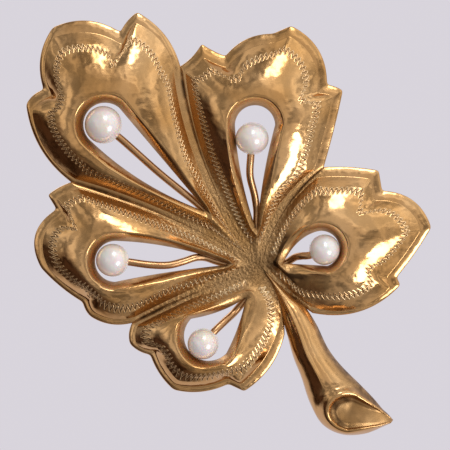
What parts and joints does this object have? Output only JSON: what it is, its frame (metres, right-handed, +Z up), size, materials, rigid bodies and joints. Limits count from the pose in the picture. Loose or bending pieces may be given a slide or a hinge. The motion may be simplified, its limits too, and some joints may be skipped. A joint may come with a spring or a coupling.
{
  "type": "leaf brooch",
  "caption": "Gold lobed leaf brooch with pierced teardrop openings, pearls on wires, a hinged back pin and a turning safety catch.",
  "frame": {"origin": "middle of the pin shank, on the pin axis, behind the leaf", "axes": "+Z up as worn, front of the leaf faces -Y, pin and catch lie on the +Y side"},
  "size_m": [0.0486, 0.0089, 0.0507],
  "materials": {
    "leaf_gold": "polished rolled gold on brass, engraved and slightly worn",
    "wire_gold": "drawn gold wire, polished",
    "fitting_gold": "gilded brass fittings, satin",
    "pin_metal": "hard-drawn gilded wire, polished",
    "pearl": "cream nacre with soft lustre"
  },
  "bodies": {
    "leaf": {"leaf_shell": "leaf_gold", "stem": "leaf_gold", "pearl_right": "pearl", "pearl_upper_right": "pearl", "pearl_upper_left": "pearl", "pearl_left": "pearl", "pearl_lower_left": "pearl", "wire_right": "wire_gold", "wire_upper_right": "wire_gold", "wire_upper_left": "wire_gold", "wire_left": "wire_gold", "wire_lower_left": "wire_gold", "pin_bar": "fitting_gold", "hinge_joint": "fitting_gold", "hinge_rivet": "fitting_gold", "catch_housing": "fitting_gold"},
    "pin": {"pin_stem": "pin_metal"},
    "catch_sleeve": {"catch_roller": "fitting_gold"}
  },
  "joints": [
    {"name": "pin_hinge", "type": "hinge", "parent": "leaf", "child": "pin", "pos_m": [-0.00398, 0, 0.01004], "axis": [0.9298, 0, 0.3681], "range_deg": [0, 100]},
    {"name": "catch_turn", "type": "hinge", "parent": "leaf", "child": "catch_sleeve", "pos_m": [0.00434, 0, -0.01097], "axis": [-0.3681, 0, 0.9298], "range_deg": [0, 75]}
  ]
}
